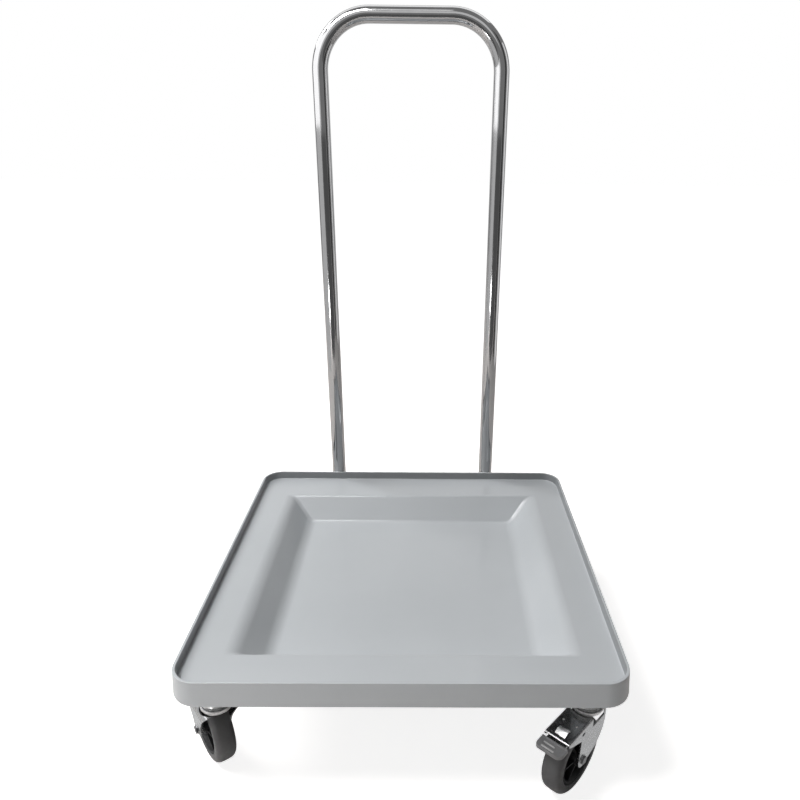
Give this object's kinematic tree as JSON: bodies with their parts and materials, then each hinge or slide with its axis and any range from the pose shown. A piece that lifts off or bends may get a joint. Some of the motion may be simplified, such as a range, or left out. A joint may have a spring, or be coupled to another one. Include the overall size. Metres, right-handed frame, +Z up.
{
  "type": "dish rack dolly",
  "caption": "Square moulded dolly for dish racks: rimmed tray with a sunken well, swivel casters with brake pedals, and a bent tube push handle.",
  "frame": {"origin": "on the floor under the middle of the tray", "axes": "+Z up; the handle stands at the back, on the +Y side; +X to the right seen from the front"},
  "size_m": [0.5686, 0.6036, 0.93],
  "materials": {
    "tray_plastic": "satin moulded",
    "handle_steel": "bright polished tube",
    "zinc_steel": "bright zinc plate",
    "bright_steel": "bright",
    "tyre_rubber": "matt grey soft tread",
    "core_plastic": "moulded black",
    "pedal_plastic": "moulded grey"
  },
  "bodies": {
    "dolly": {"tray": "tray_plastic", "handle": "handle_steel", "handle_bolts": "zinc_steel", "handle_nuts": "zinc_steel", "caster_inserts": "zinc_steel", "front_left_upper_race": "zinc_steel", "front_left_kingpin": "zinc_steel", "front_right_upper_race": "zinc_steel", "front_right_kingpin": "zinc_steel", "rear_left_upper_race": "zinc_steel", "rear_left_kingpin": "zinc_steel", "rear_right_upper_race": "zinc_steel", "rear_right_kingpin": "zinc_steel"},
    "front_left_swivel": {"front_left_fork": "zinc_steel", "front_left_ball_race": "bright_steel", "front_left_axle_bolt": "zinc_steel", "front_left_axle_nut": "zinc_steel", "front_left_axle_sleeve": "zinc_steel"},
    "front_left_wheel": {"front_left_wheel_core": "core_plastic", "front_left_tyre": "tyre_rubber"},
    "front_right_swivel": {"front_right_fork": "zinc_steel", "front_right_ball_race": "bright_steel", "front_right_axle_bolt": "zinc_steel", "front_right_axle_nut": "zinc_steel", "front_right_axle_sleeve": "zinc_steel", "front_right_brake_spring": "bright_steel", "front_right_pedal_pin": "bright_steel"},
    "front_right_wheel": {"front_right_wheel_core": "core_plastic", "front_right_tyre": "tyre_rubber"},
    "front_right_pedal": {"front_right_brake_lever": "zinc_steel", "front_right_pedal_pad": "pedal_plastic"},
    "rear_left_swivel": {"rear_left_fork": "zinc_steel", "rear_left_ball_race": "bright_steel", "rear_left_axle_bolt": "zinc_steel", "rear_left_axle_nut": "zinc_steel", "rear_left_axle_sleeve": "zinc_steel", "rear_left_brake_spring": "bright_steel", "rear_left_pedal_pin": "bright_steel"},
    "rear_left_wheel": {"rear_left_wheel_core": "core_plastic", "rear_left_tyre": "tyre_rubber"},
    "rear_left_pedal": {"rear_left_brake_lever": "zinc_steel", "rear_left_pedal_pad": "pedal_plastic"},
    "rear_right_swivel": {"rear_right_fork": "zinc_steel", "rear_right_ball_race": "bright_steel", "rear_right_axle_bolt": "zinc_steel", "rear_right_axle_nut": "zinc_steel", "rear_right_axle_sleeve": "zinc_steel"},
    "rear_right_wheel": {"rear_right_wheel_core": "core_plastic", "rear_right_tyre": "tyre_rubber"}
  },
  "joints": [
    {"name": "front_left_swivel_turn", "type": "hinge", "parent": "dolly", "child": "front_left_swivel", "pos_m": [-0.229, -0.228, 0.105], "axis": [0, 0, 1], "continuous": true},
    {"name": "front_left_wheel_spin", "type": "hinge", "parent": "front_left_swivel", "child": "front_left_wheel", "pos_m": [-0.24705, -0.20404, 0.05], "axis": [-0.7986, -0.6018, 0], "continuous": true},
    {"name": "front_right_swivel_turn", "type": "hinge", "parent": "dolly", "child": "front_right_swivel", "pos_m": [0.229, -0.228, 0.105], "axis": [0, 0, 1], "continuous": true},
    {"name": "front_right_wheel_spin", "type": "hinge", "parent": "front_right_swivel", "child": "front_right_wheel", "pos_m": [0.20873, -0.25012, 0.05], "axis": [0.7373, -0.6756, 0], "continuous": true},
    {"name": "front_right_brake_press", "type": "hinge", "parent": "front_right_swivel", "child": "front_right_pedal", "pos_m": [0.19049, -0.27002, 0.098], "axis": [0.7373, -0.6756, 0], "range_deg": [0, 20]},
    {"name": "rear_left_swivel_turn", "type": "hinge", "parent": "dolly", "child": "rear_left_swivel", "pos_m": [-0.229, 0.228, 0.105], "axis": [0, 0, 1], "continuous": true},
    {"name": "rear_left_wheel_spin", "type": "hinge", "parent": "rear_left_swivel", "child": "rear_left_wheel", "pos_m": [-0.214, 0.20202, 0.05], "axis": [0.866, 0.5, 0], "continuous": true},
    {"name": "rear_left_brake_press", "type": "hinge", "parent": "rear_left_swivel", "child": "rear_left_pedal", "pos_m": [-0.2005, 0.17864, 0.098], "axis": [0.866, 0.5, 0], "range_deg": [0, 20]},
    {"name": "rear_right_swivel_turn", "type": "hinge", "parent": "dolly", "child": "rear_right_swivel", "pos_m": [0.229, 0.228, 0.105], "axis": [0, 0, 1], "continuous": true},
    {"name": "rear_right_wheel_spin", "type": "hinge", "parent": "rear_right_swivel", "child": "rear_right_wheel", "pos_m": [0.24705, 0.20404, 0.05], "axis": [0.7986, 0.6018, 0], "continuous": true}
  ]
}
